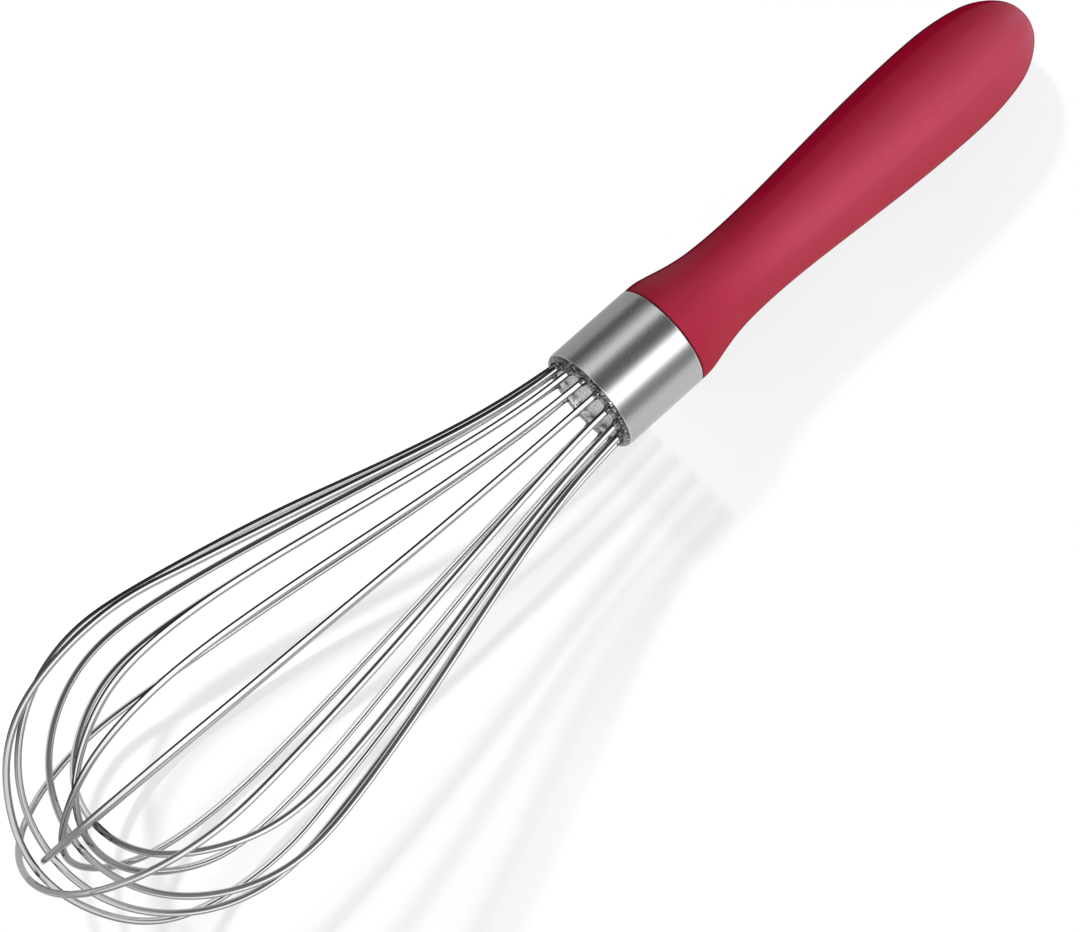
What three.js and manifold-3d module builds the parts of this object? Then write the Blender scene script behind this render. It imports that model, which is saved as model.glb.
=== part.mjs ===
// Balloon whisk: eight wire loops, a brushed ferrule and a soft red grip.
// Built along X: the ferrule's front edge is X = 0, the wires run to -X (front), the grip to +X
// (back). The group is then turned into its attitude at rest on a table (Z = 0), with the
// origin at the middle of its footprint. Millimetres, +Z up.
import * as THREE from "three";
import Module from "manifold-3d";

// ---- driving dimensions ----
const GAP = 0.3;            // clearance between neighbouring pieces
const WIRE_R = 0.75;
const HOLE_R = WIRE_R + GAP;
const RING_R = 10.1;        // radius of the circle the wires leave the cap on
const WIRE_IN = 11.5;       // how far a wire end runs back behind X = 0

const FERRULE_R = 12.5;
const FERRULE_WALL = 0.8;
const FERRULE_LEN = 21.2;
const FERRULE_BEVEL = 0.25;
const BORE_R = FERRULE_R - FERRULE_WALL;
const SPIGOT_R = BORE_R - GAP;  // pieces that fit inside the ferrule

// end cap
const CAP_FACE = 0.85;      // the raised ring stands this far in front of the ferrule
const CAP_FLAT_R = 10.65;   // outer radius of the flat on top of that ring
const CAP_R = 12.2;         // outer radius of the ring's rounded shoulder
const CAP_BACK = 5;         // back of the cap's spigot
const SHOULDER_STEPS = 4;
const RIM_BEVEL = 0.2;      // bevel on the ring's inner edge
const DISH_R = 8.75;        // recess inside the ring
const DISH_X = 0.4;         // floor of the recess
const DISH_FILLET = 0.4;    // corner between floor and wall of the recess
const DISH_FILLET_MID = { x: 0.12, radius: 0.1 };  // its middle point, in from floor and wall
const COLLAR_TOP = 1.7;     // the wire collars end this far in front of the ferrule
const COLLAR_FOOT = GAP + 0.05;
const COLLAR_MOUTH_R = 1.22;
const COLLAR_FOOT_R = 1.62;

// hole cutters
const CAP_CUT = [-3, CAP_BACK + 2];
const ANCHOR_CUT = [CAP_BACK - 1, WIRE_IN + GAP];

const ANCHOR_BACK = 16;     // back of the block the wire ends are cast in
const CORE_BEVEL = 0.6;     // front edge of the handle core
const GRIP_WALL = 2;
const MIN_INSET_R = 3.4;    // the grip's cavity and the core stop before getting thinner than this

const REST_ROLL = 8.428;    // degrees about X
const REST_PITCH = 4.888;   // degrees about Y

// facets and steps
const ROUND = 48;
const CORE_ROUND = 36;
const STUD_FACETS = 12;
const WIRE_FACETS = 8;
const WIRE_STEPS = 80;
const ARC_DIVISIONS = 800;

// grip outline, front to back: [X, radius]
const GRIP = [
  [21.5, 12.42], [23.0, 12.42], [24.6, 12.3], [26.2, 11.98], [28.0, 11.57], [30.5, 10.97],
  [33.5, 10.38], [37.0, 9.92], [41.0, 9.68], [46.0, 9.59], [52.0, 9.71], [58.0, 9.98],
  [64.0, 10.37], [70.0, 10.79], [76.0, 11.2], [82.0, 11.6], [88.0, 11.93], [94.0, 12.2],
  [100.0, 12.37], [106.0, 12.43], [111.0, 12.31], [115.5, 11.91], [119.5, 11.27],
  [123.0, 10.38], [126.0, 9.04], [128.6, 7.33], [130.6, 5.4], [131.85, 3.25], [132.37, 1.35],
];
const GRIP_END = 132.45;

// wire shape common to all loops, root to tip: fractions of reach and of half-width
const SHAPE_X = [0.1637, 0.3363, 0.4975, 0.6620, 0.7873, 0.8928, 0.9701];
const SHAPE_R = [0.4103, 0.5915, 0.7757, 0.9361, 0.9882, 0.8458, 0.4848];

// one entry per loop: reach, half-width,
//   [departures from SHAPE_X, tenths of reach],
//   [departures from SHAPE_R, tenths of half-width],
//   [sideways bow, cubic], [in-plane lean, constant and squared], fore-aft lean
const LOOPS = [
  [147.093, 31.507,
    [0.151, 0.089, -0.12, -0.087, -0.007, 0.086, 0.018],
    [0.002, 0.001, -0.004, -0.003, -0.001, 0.009, -0.003],
    [-3.804, -0.426, 2.725, 0.016], [0.016, -0.022], 0.037],
  [151.55, 32.196,
    [-0.315, -0.13, -0.049, 0.163, 0.114, 0.067, 0.044],
    [-0.064, 0.005, -0.084, 0.061, 0.145, -0.005, 0.053],
    [-2.307, -13.336, 2.865, 16.277], [-0.508, 0.524], 2.138],
  [134.716, 31.249,
    [-0.159, -0.04, -0.087, 0.092, 0.076, -0.071, 0.004],
    [-0.065, -0.019, -0.058, 0.085, -0.048, -0.004, 0.049],
    [-1.201, -5.153, 0.27, 1.232], [-1.156, 0.159], 0.813],
  [140.079, 31.452,
    [-0.189, -0.012, -0.047, 0.001, 0.03, -0.018, -0.012],
    [-0.144, -0.002, -0.025, 0.072, 0.024, -0.083, 0.118],
    [0.07, -5.689, -0.384, 1.749], [0.232, -1.207], 0.39],
  [145.32, 32.208,
    [-0.146, -0.129, -0.118, 0.095, 0.02, -0.031, 0.008],
    [-0.088, -0.065, 0.016, 0.149, 0.029, -0.023, 0.019],
    [-0.122, -7.688, -0.055, -0.137], [-2.753, 2.135], -3.37],
  [149.248, 32.33,
    [-0.145, 0.272, 0.322, -0.366, -0.512, -0.068, 0.023],
    [-0.281, 0.256, 0.306, -0.281, -0.025, 0.176, -0.183],
    [0.747, 2.164, -0.991, 2.601], [-3.389, 1.994], -4.536],
  [137.909, 31.607,
    [-0.212, -0.034, -0.052, -0.052, 0.038, -0.071, -0.018],
    [-0.097, 0.074, 0.035, 0.032, -0.084, 0.029, 0.014],
    [0.49, -5.063, -1.456, 5.443], [-0.571, 1.167], -5.458],
  [143.17, 31.838,
    [-0.061, 0.058, 0.031, -0.134, -0.114, -0.037, -0.03],
    [-0.093, -0.011, 0.029, -0.003, 0.026, 0.049, 0.006],
    [1.662, 2.972, -2.26, -2.085], [-0.666, 0.804], -4.921],
];
const WIRE_PITCH = Math.PI / LOOPS.length;  // angle between wires; each loop leaves the cap twice

// ---- finishes ----
const finish = (settings) => new THREE.MeshStandardMaterial(settings);
const silicone = finish({ color: 0xa9364c, roughness: 0.55, metalness: 0 });
const corePlastic = finish({ color: 0xd8d4c8, roughness: 0.6, metalness: 0 });
const brushed = finish({ color: 0xb4b4b4, roughness: 0.35, metalness: 1 });
const polished = finish({ color: 0xc4c4c4, roughness: 0.15, metalness: 1 });
const wireSteel = finish({ color: 0xc0c0c0, roughness: 0.18, metalness: 1 });
const resin = finish({ color: 0x55585c, roughness: 0.5, metalness: 0 });

// ---- shared helpers ----
const wasm = await Module();
wasm.setup();

// a body of revolution about X from [X, radius] points
function turned(profile, facets = ROUND) {
  const points = profile.map(([x, radius]) => new THREE.Vector2(radius, x));
  return new THREE.LatheGeometry(points, facets).rotateZ(-Math.PI / 2);
}

// three.js geometry to a Manifold solid: welds vertices and drops collapsed triangles
function solid(geometry) {
  const { position } = geometry.attributes;
  const corners = geometry.index;
  const seen = new Map();
  const vertices = [];
  const triangles = [];
  const weld = (corner) => {
    const point = new THREE.Vector3().fromBufferAttribute(position, corner).toArray();
    const key = point.map((value) => Math.round(value * 1e4)).join();
    if (!seen.has(key)) {
      seen.set(key, vertices.length / 3);
      vertices.push(...point);
    }
    return seen.get(key);
  };
  for (let i = 0; i < corners.count; i += 3) {
    const triangle = [0, 1, 2].map((j) => weld(corners.getX(i + j)));
    if (new Set(triangle).size === 3) triangles.push(...triangle);
  }
  return new wasm.Manifold(new wasm.Mesh({
    numProp: 3,
    vertProperties: new Float32Array(vertices),
    triVerts: new Uint32Array(triangles),
  }));
}

function geometryOf(body) {
  const mesh = body.getMesh();
  const geometry = new THREE.BufferGeometry();
  const vertices = new Float32Array(mesh.vertProperties);
  geometry.setAttribute("position", new THREE.BufferAttribute(vertices, 3));
  geometry.setIndex(new THREE.BufferAttribute(new Uint32Array(mesh.triVerts), 1));
  geometry.computeVertexNormals();
  return geometry;
}

// round studs, one per wire end, between two X places; the radius may taper
function studsOnRing([front, back], frontR, backR = frontR) {
  const studs = [];
  for (let i = 0; i < 2 * LOOPS.length; i++) {
    const angle = i * WIRE_PITCH;
    const stud = new THREE.CylinderGeometry(frontR, backR, back - front, STUD_FACETS);
    stud.rotateZ(Math.PI / 2);
    stud.translate((front + back) / 2, -RING_R * Math.sin(angle), RING_R * Math.cos(angle));
    studs.push(solid(stud));
  }
  return wasm.Manifold.union(studs);
}

// ---- grip and its stiff core ----
// every other grip station, moved inwards by depth
function gripInset(depth) {
  return GRIP.filter((_, i) => i % 2 === 0)
    .map(([x, radius]) => [x, radius - depth])
    .filter(([, radius]) => radius > MIN_INSET_R);
}

function gripGeometry() {
  const cavity = gripInset(GRIP_WALL).reverse();
  return turned([[cavity[0][0], 0], ...cavity, ...GRIP, [GRIP_END, 0]]);
}

function coreGeometry() {
  const front = ANCHOR_BACK + GAP;
  const [neck, ...outline] = gripInset(GRIP_WALL + GAP);
  const end = outline.at(-1);
  end[0] -= 2 * GAP;
  return turned([
    [front, 0],
    [front, SPIGOT_R - CORE_BEVEL],
    [front + CORE_BEVEL, SPIGOT_R],
    [FERRULE_LEN, SPIGOT_R],
    [FERRULE_LEN, neck[1]],
    ...outline,
    [end[0], 0],
  ], CORE_ROUND);
}

// ---- ferrule: a tube with bevelled outer edges ----
function ferruleGeometry() {
  const edgeR = FERRULE_R - FERRULE_BEVEL;
  return turned([
    [0, edgeR],
    [FERRULE_BEVEL, FERRULE_R],
    [FERRULE_LEN - FERRULE_BEVEL, FERRULE_R],
    [FERRULE_LEN, edgeR],
    [FERRULE_LEN, BORE_R],
    [0, BORE_R],
    [0, edgeR],
  ]);
}

// ---- end cap: raised ring, rounded shoulder, collared holes, shallow round recess ----
function capGeometry() {
  const shoulder = [];
  for (let i = 0; i <= SHOULDER_STEPS; i++) {
    const angle = (i / SHOULDER_STEPS) * (Math.PI / 2);
    shoulder.push([
      -GAP - (CAP_FACE - GAP) * Math.cos(angle),
      CAP_FLAT_R + (CAP_R - CAP_FLAT_R) * Math.sin(angle),
    ]);
  }
  const body = solid(turned([
    [DISH_X, 0],
    [DISH_X, DISH_R - DISH_FILLET],
    [DISH_X - DISH_FILLET_MID.x, DISH_R - DISH_FILLET_MID.radius],
    [DISH_X - DISH_FILLET, DISH_R],
    [-CAP_FACE + RIM_BEVEL, DISH_R],
    [-CAP_FACE, DISH_R + RIM_BEVEL],
    ...shoulder,
    [-GAP, SPIGOT_R],
    [CAP_BACK, SPIGOT_R],
    [CAP_BACK, 0],
  ]));
  const collars = studsOnRing([-COLLAR_TOP, -COLLAR_FOOT], COLLAR_MOUTH_R, COLLAR_FOOT_R);
  return geometryOf(body.add(collars).subtract(studsOnRing(CAP_CUT, HOLE_R)));
}

// ---- cast block that holds the wire ends ----
function anchorGeometry() {
  const front = CAP_BACK + GAP;
  const profile = [[front, 0], [front, SPIGOT_R], [ANCHOR_BACK, SPIGOT_R], [ANCHOR_BACK, 0]];
  const block = solid(turned(profile, CORE_ROUND));
  return geometryOf(block.subtract(studsOnRing(ANCHOR_CUT, HOLE_R)));
}

// ---- wire loops ----
// natural cubic spline through values at 0, step, 2 * step, ...
function evenSpline(values, step) {
  const last = values.length - 1;
  const ratio = [0];
  const partial = [0];
  for (let i = 1; i < last; i++) {
    const slopeChange = (values[i + 1] - 2 * values[i] + values[i - 1]) / step;
    const pivot = step * (4 - ratio[i - 1]);
    ratio[i] = step / pivot;
    partial[i] = (6 * slopeChange - step * partial[i - 1]) / pivot;
  }
  const second = new Array(last + 1).fill(0);  // second derivatives
  for (let i = last - 1; i > 0; i--) second[i] = partial[i] - ratio[i] * second[i + 1];
  return (place) => {
    const i = Math.min(last - 1, Math.floor(place / step));
    const after = place / step - i;
    const before = 1 - after;
    const bend = (before ** 3 - before) * second[i] + (after ** 3 - after) * second[i + 1];
    return before * values[i] + after * values[i + 1] + (bend * step * step) / 6;
  };
}

// root-to-tip values, then back down the other side
const thereAndBack = (values, sign) =>
  [...values, ...values.slice(0, -1).reverse().map((value) => sign * value)];

class WireLoop extends THREE.Curve {
  constructor([reach, halfWidth, shiftX, shiftR, bow, lean, foreAft], angle) {
    super();
    const scaled = (shape, shifts, size) => shape.map((f, i) => (f + shifts[i] / 10) * size);
    const x = [0, ...scaled(SHAPE_X, shiftX, reach), reach];
    const radius = [RING_R, ...scaled(SHAPE_R, shiftR, halfWidth), 0];
    const step = 1 / (x.length - 1);
    this.along = evenSpline(thereAndBack(x, 1), step);
    this.out = evenSpline(thereAndBack(radius, -1), step);
    Object.assign(this, { bow, lean, foreAft, angle });
    this.inside = WIRE_IN / (2 * reach + halfWidth);  // straight end, as a share of the loop
    this.arcLengthDivisions = ARC_DIVISIONS;
  }

  getPoint(share, target = new THREE.Vector3()) {
    const { bow, lean, foreAft, angle, inside } = this;
    const place = share * (1 + 2 * inside) - inside;  // 0..1 between the two exits
    const travel = 2 * Math.min(1, Math.max(0, place));  // 0 and 2 at the exits, 1 at the tip
    const straight = Math.max(0, -place, place - 1);
    const side = travel - 1;
    const fade = travel * (2 - travel);  // the hand bends vanish at both exits
    const forward = this.along(travel) + fade * side * foreAft - (straight / inside) * WIRE_IN;
    const radial = this.out(travel) + fade * (lean[0] + lean[1] * side ** 2);
    const sideways = fade * bow.reduce((sum, factor, i) => sum + factor * side ** i, 0);
    const right = radial * Math.sin(angle) + sideways * Math.cos(angle);
    const up = radial * Math.cos(angle) - sideways * Math.sin(angle);
    return target.set(-forward, -right, up);
  }
}

function wireSection() {
  const section = new THREE.Shape();
  for (let i = 0; i < WIRE_FACETS; i++) {
    const angle = (2 * Math.PI * i) / WIRE_FACETS;
    section[i ? "lineTo" : "moveTo"](WIRE_R * Math.cos(angle), WIRE_R * Math.sin(angle));
  }
  section.closePath();
  return section;
}

function wireGeometry(loop, i) {
  const extrudePath = new WireLoop(loop, i * WIRE_PITCH);
  const options = { steps: WIRE_STEPS, extrudePath, curveSegments: 1 };
  return new THREE.ExtrudeGeometry(wireSection(), options);
}

// ---- assembly ----
const whisk = new THREE.Group();
function add(name, geometry, material) {
  const mesh = new THREE.Mesh(geometry, material);
  mesh.name = name;
  whisk.add(mesh);
}
add("handle_grip", gripGeometry(), silicone);
add("handle_core", coreGeometry(), corePlastic);
add("ferrule", ferruleGeometry(), brushed);
add("end_cap", capGeometry(), polished);
add("wire_anchor", anchorGeometry(), resin);
LOOPS.forEach((loop, i) => add(`wire_loop_${i + 1}`, wireGeometry(loop, i), wireSteel));

// attitude at rest, then the middle of the footprint to the origin, on the table
const { degToRad } = THREE.MathUtils;
whisk.rotation.set(degToRad(REST_ROLL), degToRad(REST_PITCH), 0, "ZYX");
whisk.updateMatrixWorld(true);
const { min, max } = new THREE.Box3().setFromObject(whisk, true);
whisk.position.set(-(min.x + max.x) / 2, -(min.y + max.y) / 2, -min.z);

export default whisk;
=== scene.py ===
"""Balloon whisk at rest on a pale studio floor, seen from above.

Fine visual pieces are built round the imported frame. They are drawn in the whisk's own millimetres:
X runs along the whisk, 0 at the ferrule's front edge, wires towards -X and grip towards +X. Z points
up, before the whisk is rolled and pitched into the attitude in which it rests.
"""
import math

import bmesh
import bpy
import numpy as np
from mathutils import Matrix, Vector

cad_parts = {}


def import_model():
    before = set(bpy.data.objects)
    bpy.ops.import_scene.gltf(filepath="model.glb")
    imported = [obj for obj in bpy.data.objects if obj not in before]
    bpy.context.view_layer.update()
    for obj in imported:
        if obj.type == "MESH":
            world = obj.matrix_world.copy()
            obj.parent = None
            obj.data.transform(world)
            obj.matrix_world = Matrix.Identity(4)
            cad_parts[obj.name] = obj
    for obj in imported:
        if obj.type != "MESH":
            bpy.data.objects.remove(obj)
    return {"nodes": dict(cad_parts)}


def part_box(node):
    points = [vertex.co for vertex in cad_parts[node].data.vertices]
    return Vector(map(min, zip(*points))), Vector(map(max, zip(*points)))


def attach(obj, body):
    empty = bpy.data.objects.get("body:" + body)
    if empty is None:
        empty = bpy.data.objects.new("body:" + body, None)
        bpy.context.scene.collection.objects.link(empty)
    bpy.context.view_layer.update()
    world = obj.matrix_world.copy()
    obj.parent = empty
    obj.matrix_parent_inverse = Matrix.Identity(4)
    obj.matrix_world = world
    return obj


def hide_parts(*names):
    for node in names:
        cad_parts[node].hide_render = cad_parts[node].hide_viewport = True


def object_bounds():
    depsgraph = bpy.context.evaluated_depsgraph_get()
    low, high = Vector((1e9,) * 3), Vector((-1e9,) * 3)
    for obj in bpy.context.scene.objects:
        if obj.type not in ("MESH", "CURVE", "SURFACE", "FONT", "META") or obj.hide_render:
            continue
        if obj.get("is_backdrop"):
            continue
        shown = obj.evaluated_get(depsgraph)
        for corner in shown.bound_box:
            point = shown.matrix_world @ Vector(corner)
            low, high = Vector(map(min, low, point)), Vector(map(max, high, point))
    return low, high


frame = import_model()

CAD_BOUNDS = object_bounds()
MM = 0.001

# ---------------------------------------------------------------- dimensions, mm
FERRULE_LENGTH, FERRULE_R, BORE_R = 21.2, 12.5, 11.7
FERRULE_EDGE_R = 0.28                   # rounding of the ferrule's outer edges
GRIP_END, GRIP_WALL = 132.45, 2.0
WIRE_R = 0.75
WIRE_RING_R = 10.1                      # circle on which the wires enter the cap
WIRE_INSIDE = 11.5                      # straight length of each wire end behind x = 0
LOOP_COUNT = 8
CAP_BACK_X, CAP_SPIGOT_R = 5.0, 11.4
CAP_FLOOR_X, CAP_FLOOR_R = 0.4, 8.75    # sunken middle of the cap
CAP_RIDGE_X = -0.85                     # foremost part of the cap's rim

# ---------------------------------------------------------------- the whisk's own axes
REST_ROLL, REST_PITCH = math.radians(8.428), math.radians(4.888)
ROTATION = np.array(Matrix.Rotation(REST_PITCH, 3, "Y") @ Matrix.Rotation(REST_ROLL, 3, "X"))
ferrule_low, ferrule_high = (np.array(corner, float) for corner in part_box("ferrule"))
ORIGIN = (ferrule_low + ferrule_high) / 2 - ROTATION @ np.array([FERRULE_LENGTH / 2, 0, 0]) * MM

# world directions of local +X, -Y and +Z
GRIPWARD = ROTATION @ np.array([1.0, 0.0, 0.0])
SIDEWARD = ROTATION @ np.array([0.0, -1.0, 0.0])
TOPWARD = ROTATION @ np.array([0.0, 0.0, 1.0])


def world(points):
    """Local millimetres to world metres."""
    return np.asarray(points, float) @ ROTATION.T * MM + ORIGIN


# ---------------------------------------------------------------- mesh helpers
def mesh_object(name, verts, faces):
    mesh = bpy.data.meshes.new(name)
    mesh.from_pydata([tuple(v) for v in verts], [], faces)
    mesh.update()
    ob = bpy.data.objects.new(name, mesh)
    bpy.context.scene.collection.objects.link(ob)
    return ob


def shade_smooth(ob, sharp=None):
    """Smooth shading, broken at edges that bend more than `sharp` degrees."""
    ob.data.polygons.foreach_set("use_smooth", [True] * len(ob.data.polygons))
    if sharp is not None:
        ob.data.set_sharp_from_angle(angle=math.radians(sharp))


def edit_mesh(ob, change=None):
    """Apply change(bm) to the mesh, then turn all its faces outwards."""
    bm = bmesh.new()
    bm.from_mesh(ob.data)
    if change:
        change(bm)
    bmesh.ops.recalc_face_normals(bm, faces=bm.faces)
    bm.to_mesh(ob.data)
    bm.free()


def lathe(name, profile, sharp, closed=False, segments=256):
    """Body of revolution about local X from (x, radius) points; closed joins last point to first."""
    verts, rings = [], []
    for x, radius in profile:
        if radius < 1e-6:
            rings.append([len(verts)])
            verts.append((x, 0, 0))
            continue
        rings.append(list(range(len(verts), len(verts) + segments)))
        for k in range(segments):
            angle = 2 * math.pi * k / segments
            verts.append((x, radius * math.cos(angle), radius * math.sin(angle)))
    pairs = list(zip(rings, rings[1:]))
    if closed:
        pairs.append((rings[-1], rings[0]))
    faces = []
    for a, b in pairs:
        for k in range(segments):
            j = (k + 1) % segments
            if len(a) == 1:
                faces.append((a[0], b[k], b[j]))
            elif len(b) == 1:
                faces.append((a[k], b[0], a[j]))
            else:
                faces.append((a[k], b[k], b[j], a[j]))
    ob = mesh_object(name, world(verts), faces)
    shade_smooth(ob)
    edit_mesh(ob)
    shade_smooth(ob, sharp)
    return ob


def arc(centre_x, centre_r, radius_x, radius_r, start, end, count):
    """Points of an elliptic arc in the (x, radius) plane, angles in degrees."""
    angles = [math.radians(a) for a in np.linspace(start, end, count)]
    return [(centre_x + radius_x * math.cos(a), centre_r + radius_r * math.sin(a)) for a in angles]


def between(a, b, start, end, at):
    """Straight blend of a at start into b at end."""
    return (end - at) / (end - start) * a + (at - start) / (end - start) * b


def curve_through(points, per_span):
    """Centripetal Catmull-Rom curve through 2-D points."""
    p = np.asarray(points, float)
    p = np.vstack([2 * p[0] - p[1], p, 2 * p[-1] - p[-2]])
    curve = []
    for i in range(1, len(p) - 2):
        p0, p1, p2, p3 = p[i - 1 : i + 3]
        spans = [np.linalg.norm(b - a) ** 0.5 for a, b in ((p0, p1), (p1, p2), (p2, p3))]
        t = np.cumsum([0] + spans)
        for u in np.linspace(t[1], t[2], per_span, endpoint=False):
            a1 = between(p0, p1, t[0], t[1], u)
            a2 = between(p1, p2, t[1], t[2], u)
            a3 = between(p2, p3, t[2], t[3], u)
            b1 = between(a1, a2, t[0], t[2], u)
            b2 = between(a2, a3, t[1], t[3], u)
            curve.append(between(b1, b2, t[1], t[2], u))
    curve.append(p[-2])
    return np.array(curve)


def natural_spline(knots, values, at):
    """Natural cubic spline through (knots, values), read at the places `at`."""
    n = len(knots)
    h = np.diff(knots)
    matrix = np.zeros((n, n))
    rhs = np.zeros(n)
    matrix[0, 0] = matrix[-1, -1] = 1
    for i in range(1, n - 1):
        matrix[i, i - 1 : i + 2] = h[i - 1], 2 * (h[i - 1] + h[i]), h[i]
        rhs[i] = 6 * ((values[i + 1] - values[i]) / h[i] - (values[i] - values[i - 1]) / h[i - 1])
    bend = np.linalg.solve(matrix, rhs)
    i = np.clip(np.searchsorted(knots, at) - 1, 0, n - 2)
    u, v = (knots[i + 1] - at) / h[i], (at - knots[i]) / h[i]
    curved = ((u**3 - u) * bend[i] + (v**3 - v) * bend[i + 1]) * h[i] ** 2 / 6
    return u * values[i] + v * values[i + 1] + curved


# ---------------------------------------------------------------- shader helpers
def turn(degrees):
    """Angle from -180..180 degrees to 0..1."""
    return (degrees + 180) / 360


def turn_stops(rows, gain=1.0):
    """Ramp stops from (degrees, value) rows."""
    return [(turn(degrees), value * gain) for degrees, value in rows]


def grip_stops(rows):
    """Ramp stops from (local x in mm, value) rows."""
    return [(x / GRIP_END, value) for x, value in rows]


def grey(value):
    return (value, value, value, 1)


def srgb(*channels):
    """Linear colour of 0..255 display values."""
    shares = [c / 255 for c in channels]
    return tuple(s / 12.92 if s <= 0.04045 else ((s + 0.055) / 1.055) ** 2.4 for s in shares)


class Shader:
    """A node tree with short ways to add nodes. Any input takes a socket or a plain value."""

    def __init__(self, tree, output_kind):
        self.tree = tree
        tree.nodes.clear()
        self.output = self.node(output_kind)

    def feed(self, socket, value):
        if isinstance(value, bpy.types.NodeSocket):
            self.tree.links.new(value, socket)
        else:
            socket.default_value = value.tolist() if isinstance(value, np.ndarray) else value

    def node(self, kind, inputs=None, **settings):
        made = self.tree.nodes.new(kind)
        for name, value in settings.items():
            setattr(made, name, value)
        for key, value in (inputs or {}).items():
            self.feed(made.inputs[key], value)
        return made

    def math(self, operation, *operands, clamp=False):
        inputs = dict(enumerate(operands))
        made = self.node("ShaderNodeMath", inputs, operation=operation, use_clamp=clamp)
        return made.outputs[0]

    def add(self, a, b, clamp=False):
        return self.math("ADD", a, b, clamp=clamp)

    def multiply(self, a, b):
        return self.math("MULTIPLY", a, b)

    def one_minus(self, value):
        return self.math("SUBTRACT", 1.0, value)

    def fade(self, value, mask, amount):
        """The value lowered by a share `amount` where the mask is 1."""
        return self.multiply(value, self.one_minus(self.multiply(mask, amount)))

    def vector_math(self, operation, inputs):
        return self.node("ShaderNodeVectorMath", inputs, operation=operation).outputs

    def dot(self, a, b):
        return self.vector_math("DOT_PRODUCT", {0: a, 1: b})["Value"]

    def scaled(self, vector, scale):
        return self.vector_math("SCALE", {0: vector, "Scale": scale})[0]

    def combine(self, x, y, z):
        return self.node("ShaderNodeCombineXYZ", {0: x, 1: y, 2: z}).outputs[0]

    def noise(self, vector, scale, detail, roughness=0.5):
        inputs = {"Vector": vector, "Scale": scale, "Detail": detail, "Roughness": roughness}
        return self.node("ShaderNodeTexNoise", inputs).outputs["Fac"]

    def bump(self, height, strength, distance):
        inputs = {"Height": height, "Strength": strength, "Distance": distance}
        return self.node("ShaderNodeBump", inputs).outputs["Normal"]

    def ramp(self, fac, stops):
        """Linear ramp through (position, grey value or RGB) stops."""
        made = self.node("ShaderNodeValToRGB", {"Fac": fac})
        elements = made.color_ramp.elements
        elements.remove(elements[-1])
        for i, (position, value) in enumerate(stops):
            if i == 0:
                elements[0].position = position
            element = elements.new(position) if i else elements[0]
            element.color = (*value, 1) if isinstance(value, tuple) else grey(value)
        return made.outputs["Color"]

    def map_range(self, value, start, end, to_start, to_end, smooth=False):
        inputs = {"Value": value, "From Min": start, "From Max": end,
                  "To Min": to_start, "To Max": to_end}
        kind = "SMOOTHSTEP" if smooth else "LINEAR"
        made = self.node("ShaderNodeMapRange", inputs, interpolation_type=kind)
        return made.outputs["Result"]

    def mix_colour(self, fac, a, b, blend="MIX"):
        inputs = {"Factor": fac, 6: a, 7: b}
        return self.node("ShaderNodeMix", inputs, data_type="RGBA", blend_type=blend).outputs[2]

    def mix_float(self, fac, a, b):
        inputs = {"Factor": fac, 2: a, 3: b}
        return self.node("ShaderNodeMix", inputs, data_type="FLOAT").outputs[0]

    def local_position(self):
        """Sockets of the position in the whisk's own millimetres: x, y, z."""
        geometry = self.node("ShaderNodeNewGeometry")
        offset = self.vector_math("SUBTRACT", {0: geometry.outputs["Position"], 1: ORIGIN})[0]
        return [self.dot(offset, ROTATION[:, axis] * 1000) for axis in range(3)]

    def turn_fraction(self, side, top):
        """Angle of (side, top) as 0..1: 0.5 towards top, 0.75 towards side."""
        angle = self.math("ARCTAN2", side, top)
        return self.add(self.multiply(angle, 0.5 / math.pi), 0.5)

    def around_axis(self, direction):
        """Angle of a direction round the whisk, 0..1: 0.5 is local +Z, 0.75 is local -Y."""
        return self.turn_fraction(self.dot(direction, SIDEWARD), self.dot(direction, TOPWARD))


def new_material(name):
    """A material, its shader and a function that feeds inputs of its Principled BSDF."""
    mat = bpy.data.materials.new(name)
    mat.use_nodes = True
    shader = Shader(mat.node_tree, "ShaderNodeOutputMaterial")
    bsdf = shader.node("ShaderNodeBsdfPrincipled")
    shader.feed(shader.output.inputs["Surface"], bsdf.outputs["BSDF"])

    def surface(**inputs):
        for key, value in inputs.items():
            shader.feed(bsdf.inputs[SURFACE_INPUTS[key]], value)

    return mat, shader, surface


SURFACE_INPUTS = {
    "colour": "Base Color", "metallic": "Metallic", "roughness": "Roughness", "ior": "IOR",
    "specular": "Specular IOR Level", "tint": "Specular Tint", "normal": "Normal",
}

# ---------------------------------------------------------------- silicone
# Painted sheen by degrees round the whisk, 0 facing local +Z and 90 facing local -Y: the specular
# level is painted on, none on the +Y side, two broad painted highlights along the top.
PAINTED_SHEEN = [
    (-180, 0.30), (-126, 0.30), (-102, 0.0), (-52, 0.0), (-39, 0.09), (-29, 0.21), (-20, 0.39),
    (-12, 0.56), (-4, 0.62), (4, 0.51), (12, 0.43), (20, 0.48), (29, 0.60), (39, 0.48), (51, 0.26),
    (66, 0.08), (102, 0.05), (126, 0.30), (180, 0.30),
]
PAINTED_SHEEN_GAIN = 1.33
# painted sheen added on the +Y flank, beside the flare only
FLANK_PAINTED_SHEEN = [(-180, 0.0), (-72, 0.0), (-50, 0.13), (-15, 0.15), (15, 0.04), (30, 0.0), (180, 0.0)]
# Painted shade on the flare beside the ferrule, and how the painted sheen changes there, by local x.
FLARE_PAINTED_SHADE = [(26, 0.91), (31, 0.93), (46, 0.975), (58, 1.0)]
FLARE_PAINTED_SHEEN = [(26, 0.42), (31, 0.50), (46, 0.84), (58, 1.0)]
FLARE_FLANK_PAINTED_SHEEN = [(26, 1.0), (33, 0.9), (46, 0.25), (58, 0.0)]
END_SHEEN = 0.36                        # over the rounded end
BOUNCE_COLOUR = (0.14, 0.13, 0.13, 1)   # keeps the light thrown onto the floor neutral


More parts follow.
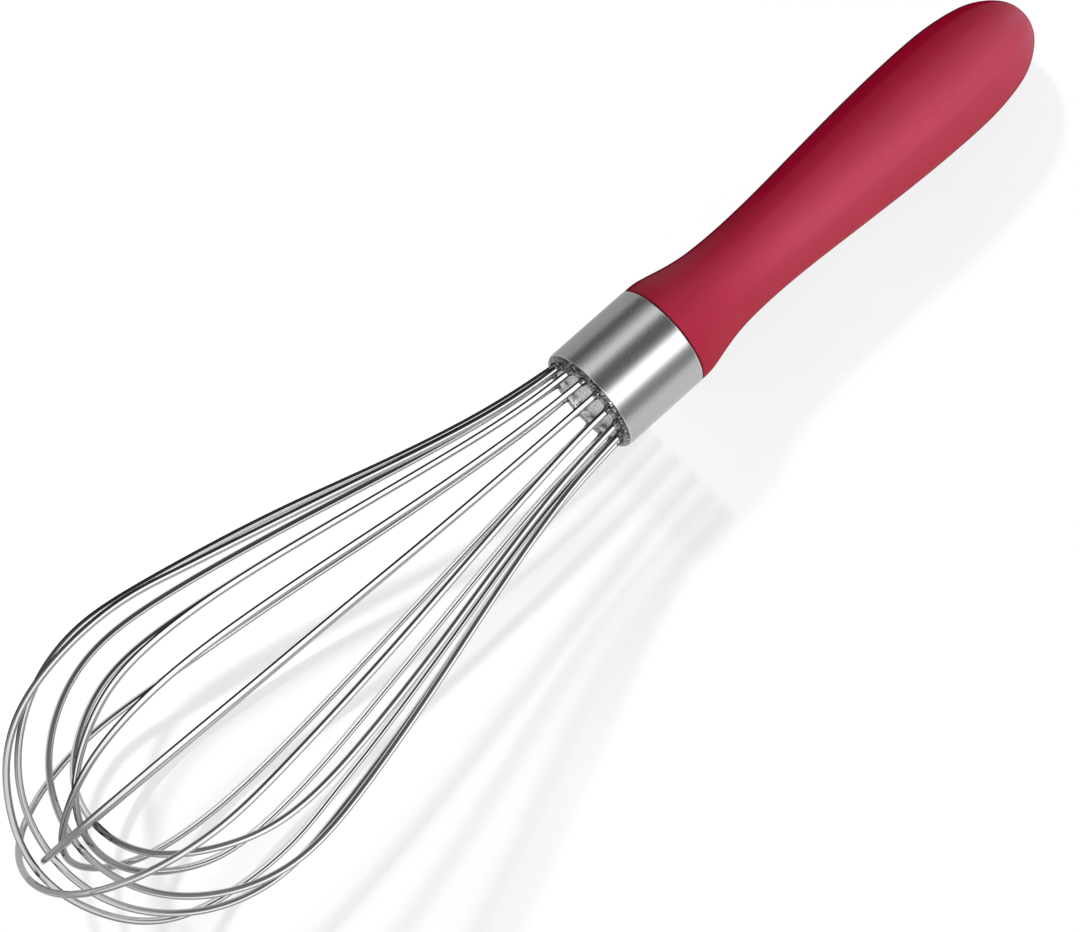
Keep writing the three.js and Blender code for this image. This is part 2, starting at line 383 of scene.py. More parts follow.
def silicone_material():
    mat, shader, surface = new_material("soft_red_silicone")
    x, y, z = shader.local_position()
    position = shader.combine(x, y, z)
    broad = shader.noise(position, scale=0.09, detail=3.0, roughness=0.55)
    fine = shader.noise(position, scale=7.0, detail=4.0, roughness=0.6)
    red = shader.ramp(broad, [(0.3, (0.395, 0.0055, 0.029)), (0.7, (0.420, 0.0062, 0.032))])
    speckle = shader.ramp(fine, [(0.35, 0.82), (0.65, 1.0)])
    colour = shader.mix_colour(0.10, red, speckle, blend="MULTIPLY")
    along = shader.math("DIVIDE", x, GRIP_END, clamp=True)
    # painted shade on the flare beside the ferrule
    colour = shader.scaled(colour, shader.ramp(along, grip_stops(FLARE_PAINTED_SHADE)))
    path = shader.node("ShaderNodeLightPath")
    colour = shader.mix_colour(path.outputs["Is Diffuse Ray"], colour, BOUNCE_COLOUR)

    geometry = shader.node("ShaderNodeNewGeometry")
    normal = geometry.outputs["Normal"]
    around = shader.around_axis(normal)
    # painted sheen: the specular level follows the normal's angle round the whisk, not the lights
    sheen = shader.ramp(around, turn_stops(PAINTED_SHEEN, PAINTED_SHEEN_GAIN))
    # even sheen over the rounded end, where the skin faces along the axis
    facing = shader.dot(normal, GRIPWARD)
    pole = shader.map_range(facing, 0.80, 0.975, to_start=0.0, to_end=1.0, smooth=True)
    sheen = shader.mix_colour(pole, sheen, grey(END_SHEEN))
    along = shader.math("DIVIDE", x, GRIP_END, clamp=True)
    painted_sheen_level = shader.multiply(sheen, shader.ramp(along, grip_stops(FLARE_PAINTED_SHEEN)))
    flank = shader.ramp(around, turn_stops(FLANK_PAINTED_SHEEN))
    flank = shader.multiply(flank, shader.ramp(along, grip_stops(FLARE_FLANK_PAINTED_SHEEN)))
    painted_sheen_level = shader.add(painted_sheen_level, flank)

    # painted shade: the skin's colour and sheen darken to a thin line where it turns out of sight
    facing = shader.dot(normal, geometry.outputs["Incoming"])
    outline = shader.map_range(facing, 0.10, 0.25, to_start=0.30, to_end=1.0)
    grain = shader.noise(position, scale=14.0, detail=2.0)
    surface(
        colour=shader.scaled(colour, outline),
        roughness=shader.map_range(fine, 0.0, 1.0, to_start=0.50, to_end=0.60),
        ior=1.8,
        specular=shader.multiply(painted_sheen_level, outline),
        tint=(0.75, 0.75, 1.0, 1),
        normal=shader.bump(grain, strength=0.05, distance=0.00002),
    )
    return mat


# ---------------------------------------------------------------- ferrule steel
def brushed_material():
    """Satin steel with hair lines along the tube and bright edges at both ends."""
    edge_width = 0.3
    mat, shader, surface = new_material("brushed_steel")
    x, y, z = shader.local_position()
    # stretched along the tube, fine around it
    angle = shader.math("ARCTAN2", y, z)
    hair_place = shader.combine(shader.multiply(x, 0.35), shader.multiply(angle, 60.0), 3.0)
    hair = shader.noise(hair_place, scale=1.0, detail=3.0, roughness=0.6)
    front_edge = shader.math("LESS_THAN", x, edge_width)
    back_edge = shader.math("GREATER_THAN", x, FERRULE_LENGTH - edge_width)
    edge = shader.add(front_edge, back_edge)
    steel = shader.ramp(hair, [(0.30, (0.509, 0.509, 0.510)), (0.70, (0.511, 0.511, 0.512))])
    surface(
        colour=shader.mix_colour(edge, steel, grey(0.62)),
        metallic=1.0,
        roughness=shader.map_range(hair, 0.3, 0.7, to_start=0.273, to_end=0.274),
    )
    return mat


# ---------------------------------------------------------------- wire steel
# Painted reflections: dark and light bands painted into each strand's colour by the direction it
# mirrors, by its place round the cage. All angles are degrees round the whisk.
# (place, start and end of the painted dark reflection, its tone, place of the thin grey line beyond
# it)
STRAND_PAINTED_REFLECTIONS = [
    (-180, -10, 38, 0.030, 75), (-157, -50, 20, 0.040, 75), (-135, -90, 32, 0.030, 75),
    (-112, -70, 55, 0.045, 85), (-90, -179, 4, 0.014, 62), (-67, -179, -12, 0.022, 62),
    (-45, -179, -50, 0.030, 62), (-22, -179, -56, 0.022, 62), (0, -179, -56, 0.020, 62),
    (22, -112, -20, 0.028, 84), (45, -108, -2, 0.060, 84), (67, -105, 18, 0.065, 84),
    (90, -100, 26, 0.060, 84), (112, -14, 38, 0.030, 84), (135, -8, 38, 0.026, 80),
    (157, -8, 38, 0.026, 78), (180, -10, 38, 0.030, 75),
]
TIP_TURN_X = (-104, -136)               # local x over which the loops turn over
TIP_END_X = (-133, -145)                # local x of the very ends of the loops


def wire_material():
    """Bright drawn wire with a polished skin; its colour holds painted reflections, dark and light
    bands along each strand.
    """
    mat, shader, surface = new_material("drawn_steel_wire")
    attribute = shader.node("ShaderNodeAttribute", attribute_name="along")
    parts = shader.node("ShaderNodeSeparateXYZ", {0: attribute.outputs["Vector"]}).outputs
    # long streaks: slow along the wire, quicker round it
    streak_place = shader.combine(
        shader.multiply(parts[0], 0.10), shader.multiply(parts[1], 2.0), parts[2])
    streak = shader.noise(streak_place, scale=1.0, detail=3.0, roughness=0.5)
    geometry = shader.node("ShaderNodeNewGeometry")
    sight = shader.scaled(geometry.outputs["Incoming"], -1.0)
    mirrored = shader.vector_math("REFLECT", {0: sight, 1: geometry.outputs["Normal"]})[0]
    mirror_turn = shader.around_axis(mirrored)
    x, y, z = shader.local_position()
    place = shader.turn_fraction(shader.multiply(y, -1.0), z)

    def by_place(column, convert=turn):
        return shader.ramp(place, [(turn(row[0]), convert(row[column])) for row in STRAND_PAINTED_REFLECTIONS])

    def step(edge, width):
        """0 before the edge, 1 after it, over a width in degrees."""
        offset = shader.math("SUBTRACT", mirror_turn, edge)
        return shader.add(shader.math("DIVIDE", offset, width / 360), 0.5, clamp=True)

    def line(middle, width):
        """1 on the middle, 0 beyond a width in degrees."""
        offset = shader.math("ABSOLUTE", shader.math("SUBTRACT", mirror_turn, middle))
        share = shader.math("DIVIDE", offset, width / 360)
        return shader.math("SUBTRACT", 1.0, share, clamp=True)

    start, end, line_place = by_place(1), by_place(2), by_place(4)
    tone = by_place(3, convert=float)
    dark = shader.multiply(step(start, width=14), shader.one_minus(step(end, width=16)))
    light = shader.add(0.62, shader.multiply(streak, 0.08))
    light = shader.fade(light, line(line_place, width=16), amount=0.62)
    beyond = step(shader.math("SUBTRACT", line_place, 0.01), width=14)
    light = shader.fade(light, beyond, amount=0.42)
    # one more thin painted reflection line, on the +Y side
    light = shader.fade(light, line(turn(-68), width=13), amount=0.75)
    # the painted light and dark reflections draw together where the loops turn over at the tip
    tip = shader.map_range(x, *TIP_TURN_X, to_start=0.0, to_end=1.0, smooth=True)
    light = shader.fade(light, tip, amount=0.28)
    tone = shader.add(tone, shader.multiply(tip, 0.06))
    # the painted reflection bands fade to plain grey at the very ends of the loops
    tip_end = shader.map_range(x, *TIP_END_X, to_start=0.0, to_end=1.0, smooth=True)
    dark = shader.fade(dark, tip_end, amount=0.80)
    light = shader.fade(light, tip_end, amount=0.22)

    tone = shader.multiply(tone, shader.add(0.6, shader.multiply(streak, 0.8)))
    shade = shader.mix_float(dark, light, tone)
    tint = shader.one_minus(dark)
    surface(
        colour=shader.combine(shade, shade, shade),
        metallic=1.0,
        roughness=0.0,
        tint=shader.combine(tint, tint, tint),
    )
    return mat


# ---------------------------------------------------------------- cap steel
def cap_material():
    """Pressed steel: rippled rim and collars painted with dark reflections and bright glints, round a
    satin face with slanting rub marks.
    """
    slant = math.radians(25)
    face_r, wall_r = CAP_FLOOR_R - 0.25, CAP_FLOOR_R + 0.2  # the wall lies between these
    mat, shader, surface = new_material("pressed_cap")
    x, y, z = shader.local_position()
    squares = shader.add(shader.multiply(y, y), shader.multiply(z, z))
    radius = shader.math("SQRT", squares)
    ripple = shader.noise(shader.combine(x, y, z), scale=1.6, detail=3.0, roughness=0.6)
    across = shader.math("SUBTRACT", shader.multiply(y, math.cos(slant)),
                         shader.multiply(z, math.sin(slant)))
    along = shader.add(shader.multiply(y, math.sin(slant)), shader.multiply(z, math.cos(slant)))
    rub_place = shader.combine(shader.multiply(across, 4.5), shader.multiply(along, 0.35), x)
    rub = shader.noise(rub_place, scale=1.0, detail=3.0, roughness=0.65)
    inside = shader.math("LESS_THAN", radius, face_r)
    wall = shader.multiply(shader.math("LESS_THAN", radius, wall_r),
                           shader.math("GREATER_THAN", radius, face_r))

    # painted reflections: the rim and collars get a near-black steel colour with bright painted
    # glints
    rim_painted_reflection = shader.ramp(ripple, [(0.42, 0.07), (0.57, 0.18), (0.66, 0.80)])
    face_tone = shader.ramp(rub, [(0.38, 0.60), (0.62, 0.97)])
    colour = shader.mix_colour(inside, rim_painted_reflection, face_tone)
    rough = shader.add(shader.multiply(ripple, 0.12), 0.06)
    rough = shader.add(rough, shader.multiply(inside, 0.16))
    rough = shader.add(rough, shader.multiply(wall, 0.35))
    rub_height = shader.multiply(shader.multiply(rub, inside), 0.5)
    height = shader.add(shader.multiply(ripple, 1.0), rub_height)
    surface(
        colour=shader.mix_colour(wall, colour, grey(0.86)),
        metallic=1.0,
        roughness=rough,
        normal=shader.bump(height, strength=0.9, distance=0.00016),
    )
    return mat


# ---------------------------------------------------------------- hidden pieces' materials
def mottled_material(name, dark, light, scale, roughness, bump_mm):
    mat, shader, surface = new_material(name)
    mottle = shader.noise(shader.combine(*shader.local_position()), scale=scale, detail=4.0)
    surface(
        colour=shader.ramp(mottle, [(0.35, dark), (0.65, light)]),
        roughness=roughness,
        normal=shader.bump(mottle, strength=0.4, distance=bump_mm * MM),
    )
    return mat


# ---------------------------------------------------------------- pieces
def finish_piece(ob, mat, cad_node):
    ob.data.materials.append(mat)
    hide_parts(cad_node)
    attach(ob, "root")


# Outside of the grip from the ferrule to the rounded end: (x, radius).
GRIP_OUTLINE = [
    (21.5, 12.42), (23.0, 12.42), (24.6, 12.3), (26.2, 11.98), (28.0, 11.57), (30.5, 10.97),
    (33.5, 10.38), (37.0, 9.92), (41.0, 9.68), (46.0, 9.59), (52.0, 9.71), (58.0, 9.98),
    (64.0, 10.37), (70.0, 10.79), (76.0, 11.2), (82.0, 11.6), (88.0, 11.93), (94.0, 12.2),
    (100.0, 12.37), (106.0, 12.43), (111.0, 12.31), (115.5, 11.91), (119.5, 11.27),
    (123.0, 10.38), (126.0, 9.04), (128.6, 7.33), (130.6, 5.4), (131.85, 3.25), (132.37, 1.35),
    (GRIP_END, 0.0),
]
# Front face of the grip and its rounded outer edge: (x, radius).
GRIP_LIP = [(21.5, 10.42), (21.5, 12.12), (21.53, 12.27), (21.62, 12.37), (21.78, 12.415)]
GRIP_LIP_END_X = 21.9                   # the outline takes over beyond this
GRIP_HOLLOW_MIN_R = 5.3                 # the hollow stops where the outline gets narrower


def close_boundary(bm):
    bmesh.ops.contextual_create(bm, geom=[edge for edge in bm.edges if edge.is_boundary])


def build_grip(mat):
    """Hollow silicone grip with a flat end to its hollow."""
    curve = curve_through(GRIP_OUTLINE, per_span=8)
    outer = [tuple(p) for p in curve if p[0] > GRIP_LIP_END_X]
    inner = [(x, r - GRIP_WALL) for x, r in GRIP_OUTLINE[1:] if r > GRIP_HOLLOW_MIN_R]
    grip = lathe("grip", [*reversed(inner), *GRIP_LIP, *outer], sharp=40)
    edit_mesh(grip, close_boundary)
    finish_piece(grip, mat, "handle_grip")


def build_ferrule(mat):
    """Plain steel tube with rounded outer edges."""
    length, edge = FERRULE_LENGTH, FERRULE_EDGE_R
    face_r = FERRULE_R - 0.3            # outer radius of the flat end faces
    side_start = 0.9                    # from each end to the first ring of the side
    profile = [
        (0.0, BORE_R), (0.0, face_r),
        *arc(edge, FERRULE_R - edge, edge, edge, 180, 90, 7),
        *[(x, FERRULE_R) for x in np.linspace(side_start, length - side_start, 24)],
        *arc(length - edge, FERRULE_R - edge, edge, edge, 90, 0, 7),
        (length, face_r), (length, BORE_R),
    ]
    ferrule = lathe("ferrule_tube", profile, sharp=30, closed=True)
    finish_piece(ferrule, mat, "ferrule")


# ---------------------------------------------------------------- wire loops
# Common shape of half a loop, from the cap to the tip: share of the reach, share of the half width.
LOOP_SHAPE = [
    (0.1637, 0.4103), (0.3363, 0.5915), (0.4975, 0.7757), (0.6620, 0.9361), (0.7873, 0.9882),
    (0.8928, 0.8458), (0.9701, 0.4848),
]
# How each loop departs from it, one row per loop:
# (reach and half width in mm), (tenths added to each reach share), (tenths added to each half width
# share), (sideways bow, four terms in mm), (widening, two terms in mm), lengthwise skew in mm.
LOOPS = [
    ((147.093, 31.507), (0.151, 0.089, -0.12, -0.087, -0.007, 0.086, 0.018),
     (0.002, 0.001, -0.004, -0.003, -0.001, 0.009, -0.003),
     (-3.804, -0.426, 2.725, 0.016), (0.016, -0.022), 0.037),
    ((151.55, 32.196), (-0.315, -0.13, -0.049, 0.163, 0.114, 0.067, 0.044),
     (-0.064, 0.005, -0.084, 0.061, 0.145, -0.005, 0.053),
     (-2.307, -13.336, 2.865, 16.277), (-0.508, 0.524), 2.138),
    ((134.716, 31.249), (-0.159, -0.04, -0.087, 0.092, 0.076, -0.071, 0.004),
     (-0.065, -0.019, -0.058, 0.085, -0.048, -0.004, 0.049),
     (-1.201, -5.153, 0.27, 1.232), (-1.156, 0.159), 0.813),
    ((140.079, 31.452), (-0.189, -0.012, -0.047, 0.001, 0.03, -0.018, -0.012),
     (-0.144, -0.002, -0.025, 0.072, 0.024, -0.083, 0.118),
     (0.07, -5.689, -0.384, 1.749), (0.232, -1.207), 0.39),
    ((145.32, 32.208), (-0.146, -0.129, -0.118, 0.095, 0.02, -0.031, 0.008),
     (-0.088, -0.065, 0.016, 0.149, 0.029, -0.023, 0.019),
     (-0.122, -7.688, -0.055, -0.137), (-2.753, 2.135), -3.37),
    ((149.248, 32.33), (-0.145, 0.272, 0.322, -0.366, -0.512, -0.068, 0.023),
     (-0.281, 0.256, 0.306, -0.281, -0.025, 0.176, -0.183),
     (0.747, 2.164, -0.991, 2.601), (-3.389, 1.994), -4.536),
    ((137.909, 31.607), (-0.212, -0.034, -0.052, -0.052, 0.038, -0.071, -0.018),
     (-0.097, 0.074, 0.035, 0.032, -0.084, 0.029, 0.014),
     (0.49, -5.063, -1.456, 5.443), (-0.571, 1.167), -5.458),
    ((143.17, 31.838), (-0.061, 0.058, 0.031, -0.134, -0.114, -0.037, -0.03),
     (-0.093, -0.011, 0.029, -0.003, 0.026, 0.049, 0.006),
     (1.662, 2.972, -2.26, -2.085), (-0.666, 0.804), -4.921),
]


def wire_path(loop, angle):
    """Centre line of one loop, from one end inside the cap to the other.

    The angle turns the loop's plane from local +Z towards -Y.
    """
    (reach, half_width), reach_tenths, width_tenths, bow, widening, skew = loop
    stations = list(zip(LOOP_SHAPE, reach_tenths, width_tenths))
    ahead = [0, *((shape[0] + more / 10) * reach for shape, more, _ in stations), reach]
    out = [WIRE_RING_R, *((shape[1] + more / 10) * half_width for shape, _, more in stations), 0]
    knots = np.arange(len(ahead)) / (len(ahead) - 1)
    # the second half mirrors the first
    knots = np.concatenate([knots, 2 - knots[-2::-1]])
    ahead = np.concatenate([ahead, ahead[-2::-1]])
    out = np.concatenate([out, -np.array(out[-2::-1])])

    u = np.linspace(0, 2, 1601)
    c = u - 1                           # -1 and 1 at the ends, 0 at the tip
    free = u * (2 - u)                  # nothing moves at the ends
    ahead = natural_spline(knots, ahead, u) + free * c * skew
    out = natural_spline(knots, out, u) + free * (widening[0] + widening[1] * c * c)
    aside = free * (bow[0] + bow[1] * c + bow[2] * c * c + bow[3] * c**3)
    side = out * math.sin(angle) + aside * math.cos(angle)
    top = out * math.cos(angle) - aside * math.sin(angle)
    path = np.stack([-ahead, -side, top], -1)
    inward = np.linspace(WIRE_INSIDE, 0, 24, endpoint=False)[:, None] * np.array([1, 0, 0])
    return np.vstack([path[0] + inward, path, (path[-1] + inward)[::-1]])


def resample(path, step):
    """Evenly spaced points along a path, with their distances from its start."""
    lengths = np.linalg.norm(np.diff(path, axis=0), axis=1)
    travelled = np.concatenate([[0], np.cumsum(lengths)])
    even = np.linspace(0, travelled[-1], int(round(travelled[-1] / step)) + 1)
    return np.stack([np.interp(even, travelled, path[:, i]) for i in range(3)], -1), even


def tube(name, path, seed, sides=20, step=0.8):
    """Round wire along a path, with an "along" attribute that places its streaks."""
    points, distance = resample(path, step)
    for _ in range(3):      # ease the kink where the straight end meets the flare
        points[1:-1] = (points[:-2] + 2 * points[1:-1] + points[2:]) / 4
    tangents = np.gradient(points, axis=0)
    tangents /= np.linalg.norm(tangents, axis=1)[:, None]
    angles = np.arange(sides) * 2 * math.pi / sides
    cosines, sines = np.cos(angles), np.sin(angles)
    normal = np.cross(tangents[0], np.array([0.0, 0.0, 1.0]))
    rings = []
    for point, tangent in zip(points, tangents):
        normal = normal - tangent * (normal @ tangent)
        normal /= np.linalg.norm(normal)
        across = cosines[:, None] * normal + sines[:, None] * np.cross(tangent, normal)
        rings.append(point + WIRE_R * across)
    verts = np.concatenate(rings)
    count = len(points)
    faces = []
    for i in range(0, (count - 1) * sides, sides):
        for k in range(sides):
            j = (k + 1) % sides
            faces.append((i + k, i + j, i + sides + j, i + sides + k))
    faces.append(tuple(reversed(range(sides))))
    faces.append(tuple((count - 1) * sides + k for k in range(sides)))
    ob = mesh_object(name, world(verts), faces)
    shade_smooth(ob, sharp=40)
    along = np.zeros((len(verts), 3))
    along[:, 0] = np.repeat(distance, sides)
    along[:, 1] = np.tile(cosines, count)
    along[:, 2] = np.tile(sines, count) * 5 + seed * 17
    attribute = ob.data.attributes.new("along", "FLOAT_VECTOR", "POINT")
    attribute.data.foreach_set("vector", along.ravel())
    return ob


def build_wires(paths, mat):
    wires = []
    for i, path in enumerate(paths):
        wire = tube(f"wire_{i + 1}", path, seed=i)
        finish_piece(wire, mat, f"wire_loop_{i + 1}")
        wires.append(wire)
    return wires


# ---------------------------------------------------------------- end cap
COLLAR_SIDES, COLLAR_RINGS = 40, 12
COLLAR_FLARE = 1.3                      # how far the foot spreads beyond the wire
COLLAR_TOP_X = CAP_RIDGE_X - 1.2
COLLAR_HEIGHT = 1.65                    # from the foot of the flare to the top
COLLAR_BASE_X = CAP_RIDGE_X + 0.9       # sunk into the cap
COLLAR_GAP, COLLAR_BITE = 0.02, 0.05    # clear of the wire at its side, into it at the top
COLLAR_SEARCH = 400                     # path points looked through from the wire's end


def cap_profile():
    corner_x, corner_r = 0.45, 0.5      # rounding at the edge of the sunken floor
    ridge_edge_r = 0.3                  # rounding between the wall and the ridge
    rim_x, rim_centre_r, rim_width = -0.3, 10.65, 1.55
    rim_r, rim_back_x = rim_centre_r + rim_width, -0.05
    return [
        (CAP_FLOOR_X, 0.0),
        *[(CAP_FLOOR_X, r) for r in np.linspace(1.5, CAP_FLOOR_R - corner_r, 6)],
        *arc(CAP_FLOOR_X - corner_x, CAP_FLOOR_R - corner_r, corner_x, corner_r, 0, 90, 6)[1:],
        (CAP_RIDGE_X + 0.35, CAP_FLOOR_R + 0.02),
        *arc(CAP_RIDGE_X + ridge_edge_r, CAP_FLOOR_R + 0.02 + ridge_edge_r,
             ridge_edge_r, ridge_edge_r, 270, 180, 6)[1:],
        (CAP_RIDGE_X, 9.9), (CAP_RIDGE_X, 10.4),
        *arc(rim_x, rim_centre_r, CAP_RIDGE_X - rim_x, rim_width, 0, 90, 10),
        (rim_back_x, rim_r), (rim_back_x, CAP_SPIGOT_R),
        (CAP_BACK_X, CAP_SPIGOT_R), (CAP_BACK_X, 0.0),
    ]


def add_collar(bm, path):
    """Small flared collar drawn up round the wire that starts at the head of the path."""
    angles = np.arange(COLLAR_SIDES) * 2 * math.pi / COLLAR_SIDES
    circle = np.stack([np.zeros(COLLAR_SIDES), np.cos(angles), np.sin(angles)], -1)

    def ring(x, y, z, radius):
        return [bm.verts.new(v) for v in world(np.array([x, y, z]) + radius * circle)]

    side_r = WIRE_R + COLLAR_GAP
    rings = []
    for h in np.linspace(0, 1, COLLAR_RINGS):
        x = COLLAR_TOP_X + COLLAR_HEIGHT * (1 - h)
        radius = side_r + COLLAR_FLARE * (1 - math.sqrt(max(0.0, 1 - (1 - h) ** 2)))
        nearest = int(np.argmin(np.abs(path[:COLLAR_SEARCH, 0] - x)))
        y, z = path[nearest, 1:]
        rings.append(ring(x, y, z, radius))
    rings.append(ring(COLLAR_TOP_X, y, z, WIRE_R - COLLAR_BITE))
    rings.insert(0, ring(COLLAR_BASE_X, y, z, side_r + COLLAR_FLARE))
    for a, b in zip(rings, rings[1:]):
        for k in range(COLLAR_SIDES):
            j = (k + 1) % COLLAR_SIDES
            bm.faces.new((a[k], a[j], b[j], b[k]))
    bm.faces.new(list(reversed(rings[0])))
    bm.faces.new(rings[-1])


def build_cap(paths, mat):
    """Pressed cap closing the ferrule's front, with a collar round every wire end."""
    cap = lathe("cap", cap_profile(), sharp=40)

    def add_collars(bm):
        for path in [*paths, *(path[::-1] for path in paths)]:
            add_collar(bm, path)

    edit_mesh(cap, add_collars)
    shade_smooth(cap, sharp=50)
    finish_piece(cap, mat, "end_cap")


# ---------------------------------------------------------------- floor
def floor_material():
    mat, shader, surface = new_material("pale_floor")
    geometry = shader.node("ShaderNodeNewGeometry")
    mottle = shader.noise(geometry.outputs["Position"], scale=9.0, detail=5.0)
    tone = shader.ramp(mottle, [(0.3, 0.86), (0.7, 0.88)])
    # painted shade in reflections: steel sees a darker floor, more so on the whisk's +Y side;
    # mirror-bright steel far less
    side = shader.dot(geometry.outputs["Incoming"], SIDEWARD)
    satin = shader.map_range(side, -0.3, 0.5, to_start=0.90, to_end=0.50)
    mirror = shader.map_range(side, -0.15, 0.12, to_start=0.98, to_end=0.90)
    path = shader.node("ShaderNodeLightPath")
    seen = shader.mix_float(path.outputs["Is Singular Ray"], satin, mirror)
    change = shader.multiply(shader.math("SUBTRACT", seen, 1.0), path.outputs["Is Glossy Ray"])
    surface(
        colour=shader.scaled(tone, shader.add(change, 1.0)),
        roughness=0.9,
        specular=0.1,
    )
    return mat


def build_floor():
    half = 3
    corners = [(-half, -half, 0), (half, -half, 0), (half, half, 0), (-half, half, 0)]
    floor = mesh_object("studio_floor", corners, [(0, 1, 2, 3)])
    floor.data.materials.append(floor_material())
    floor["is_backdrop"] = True
    return floor


# ---------------------------------------------------------------- camera
# Camera vectors run right, down and ahead. The whisk's directions are given in them.
VIEW_TURN = math.radians(41.75)         # of the whisk across the view
VIEW_TILT = math.radians(14.2125)       # of the whisk's tip towards the camera
FERRULE_IN_VIEW = np.array([10.42227, -13.67017, 650.0])   # ferrule's front centre, mm
LENS, SENSOR_WIDTH = 103.13333, 36.0


def build_camera():
    """Camera above the whisk. Returns its right, up and back directions in the world."""
    turn_cos, turn_sin = math.cos(VIEW_TURN), math.sin(VIEW_TURN)
    tilt_cos, tilt_sin = math.cos(VIEW_TILT), math.sin(VIEW_TILT)
    tip = np.array([-turn_cos * tilt_cos, turn_sin * tilt_cos, -tilt_sin])
    side = np.array([turn_sin, turn_cos, 0.0])
    top = np.array([turn_cos * tilt_sin, -turn_sin * tilt_sin, -tilt_cos])
    to_local = np.stack([-tip, -side, top])
    place = world(to_local @ -FERRULE_IN_VIEW)
    right, up, back = (ROTATION @ to_local @ np.array(v) for v in ((1, 0, 0), (0, -1, 0), (0, 0, -1)))
    data = bpy.data.cameras.new("camera")
    data.sensor_fit = "HORIZONTAL"
    data.sensor_width = SENSOR_WIDTH
    data.lens = LENS
    data.clip_start, data.clip_end = 0.01, 20
    camera = bpy.data.objects.new("camera", data)
    bpy.context.scene.collection.objects.link(camera)
    rows = [[right[i], up[i], back[i], place[i]] for i in range(3)]
    camera.matrix_world = Matrix(rows + [[0, 0, 0, 1]])
    bpy.context.scene.camera = camera
    return right, up, back


# ---------------------------------------------------------------- world
# Soft boxes and dark cards as satin steel sees them: (degrees round the whisk, brightness).
CARDS = [
    (-180, 0.55), (-104, 0.42), (-97, 0.12), (-80, 0.10), (-66, 0.33), (-55, 0.95), (-44, 1.45),
    (-37, 0.95), (-29, 0.12), (6, 0.085), (17, 2.8), (39, 2.8), (48, 0.27), (66, 0.26),
    (78, 0.42), (100, 0.68), (180, 0.68),
]
# The same for the mirror-bright wires: a more even sky.
WIRE_CARDS = [(-180, 1.0), (-100, 1.1), (-80, 1.7), (60, 1.7), (90, 1.3), (180, 1.0)]
CARD_STRENGTH = 4.0                     # the ramps hold brightness divided by this
SOFT_STRENGTH = 0.22                    # even light that falls on everything


def build_world():
    studio = bpy.data.worlds.new("studio")
    bpy.context.scene.world = studio
    studio.use_nodes = True
    studio.cycles.sampling_method = "NONE"
    shader = Shader(studio.node_tree, "ShaderNodeOutputWorld")
    coordinates = shader.node("ShaderNodeTexCoord")
    around = shader.around_axis(coordinates.outputs["Generated"])
    path = shader.node("ShaderNodeLightPath").outputs

    def background(colour, strength):
        inputs = {"Color": colour, "Strength": strength}
        return shader.node("ShaderNodeBackground", inputs).outputs[0]

    def card_background(cards):
        ramp = shader.ramp(around, turn_stops(cards, gain=1 / CARD_STRENGTH))
        return background(ramp, CARD_STRENGTH)

    def mix_by(fac, a, b):
        return shader.node("ShaderNodeMixShader", {0: fac, 1: a, 2: b}).outputs[0]

    reflected = mix_by(path["Is Singular Ray"], card_background(CARDS), card_background(WIRE_CARDS))
    soft = background(grey(1), SOFT_STRENGTH)
    unseen = mix_by(path["Is Glossy Ray"], soft, reflected)
    seen = background(grey(1), 1.0)
    shader.feed(shader.output.inputs[0], mix_by(path["Is Camera Ray"], unseen, seen))


# ---------------------------------------------------------------- lights
def collection_of(name, objects):
    collection = bpy.data.collections.new(name)
    for ob in objects:
        collection.objects.link(ob)
    return collection


def sun(name, direction, strength, spread, receivers, shadow=True):
    """Distant light from a direction, `spread` degrees wide, on one set of pieces."""
    data = bpy.data.lights.new(name, "SUN")
    data.energy = strength
    data.angle = math.radians(spread)
    data.use_shadow = shadow
    ob = bpy.data.objects.new(name, data)
    ob.rotation_euler = Vector(tuple(direction)).to_track_quat("Z", "Y").to_euler()
    ob.visible_glossy = False
    ob.light_linking.receiver_collection = receivers
    bpy.context.scene.collection.objects.link(ob)
    return ob


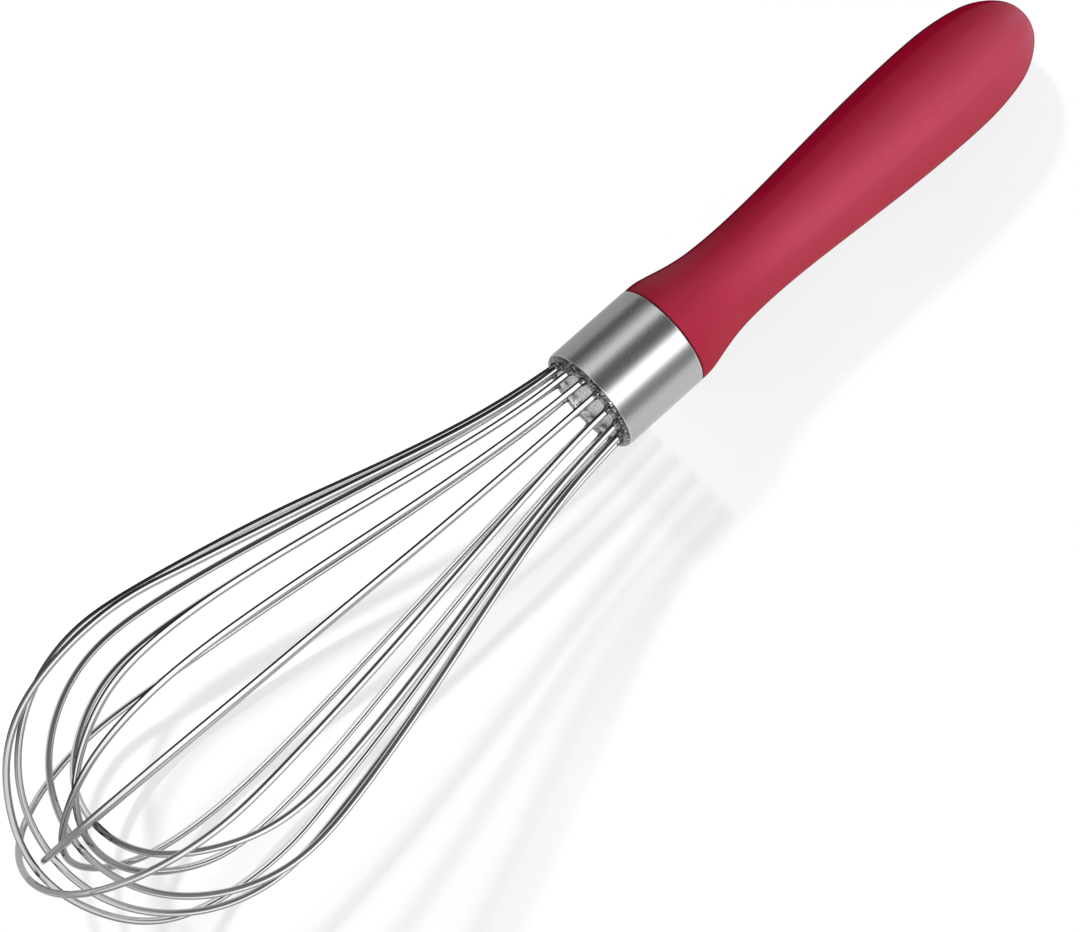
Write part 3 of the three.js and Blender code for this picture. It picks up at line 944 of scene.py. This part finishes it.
def direction_in_view(right, up, bearing, elevation):
    """Direction to a light: degrees clockwise from the view's top, degrees above the floor."""
    flat_right, flat_up = (np.array([v[0], v[1], 0.0]) for v in (right, up))
    flat_right /= np.linalg.norm(flat_right)
    flat_up /= np.linalg.norm(flat_up)
    b, e = math.radians(bearing), math.radians(elevation)
    level = math.cos(b) * flat_up + math.sin(b) * flat_right
    return math.cos(e) * level + math.sin(e) * np.array([0.0, 0.0, 1.0])


def build_lights(floor, wires, right, up, back):
    meshes = [ob for ob in bpy.context.scene.objects if ob.type == "MESH" and ob is not floor]
    on_whisk = collection_of("whisk_receivers", meshes)
    on_floor = collection_of("floor_receivers", [floor])
    lean = math.radians(20)             # of the whisk's key light, from local +Z towards -Y
    key_direction = TOPWARD * math.cos(lean) + SIDEWARD * math.sin(lean)
    table_direction = direction_in_view(right, up, bearing=-38, elevation=44)
    sun("whisk_key", key_direction, strength=2.32, spread=50, receivers=on_whisk)
    sun("table_key", table_direction, strength=0.62, spread=7, receivers=on_floor)
    # only the wires cast a shadow in this light
    cage_key = sun("cage_key", table_direction, strength=0.56, spread=4, receivers=on_floor)
    cage_key.light_linking.blocker_collection = collection_of("cage", wires)
    sun("table_fill", back, strength=2.28, spread=20, receivers=on_floor, shadow=False)


# ---------------------------------------------------------------- build
silicone = silicone_material()
brushed = brushed_material()
wire_steel = wire_material()
cap_steel = cap_material()
core = mottled_material("moulded_core", srgb(205, 200, 186), srgb(218, 214, 202),
                        scale=0.8, roughness=0.55, bump_mm=0.02)
resin = mottled_material("cast_resin", srgb(62, 66, 70), srgb(82, 86, 90),
                         scale=1.2, roughness=0.4, bump_mm=0.03)

build_grip(silicone)
build_ferrule(brushed)
loop_paths = [wire_path(loop, i * math.pi / LOOP_COUNT) for i, loop in enumerate(LOOPS)]
wire_objects = build_wires(loop_paths, wire_steel)
build_cap(loop_paths, cap_steel)

# hidden pieces keep their CAD shape
for node_name, material in (("handle_core", core), ("wire_anchor", resin)):
    materials = frame["nodes"][node_name].data.materials
    materials.clear()
    materials.append(material)

studio_floor = build_floor()
view_right, view_up, view_back = build_camera()
build_world()
build_lights(studio_floor, wire_objects, view_right, view_up, view_back)

view_settings = bpy.context.scene.view_settings
view_settings.view_transform = "Standard"
view_settings.look = "None"

sizes = {"cad": CAD_BOUNDS, "visual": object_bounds()}
sizes = {name: [list(map(float, corner)) for corner in box] for name, box in sizes.items()}
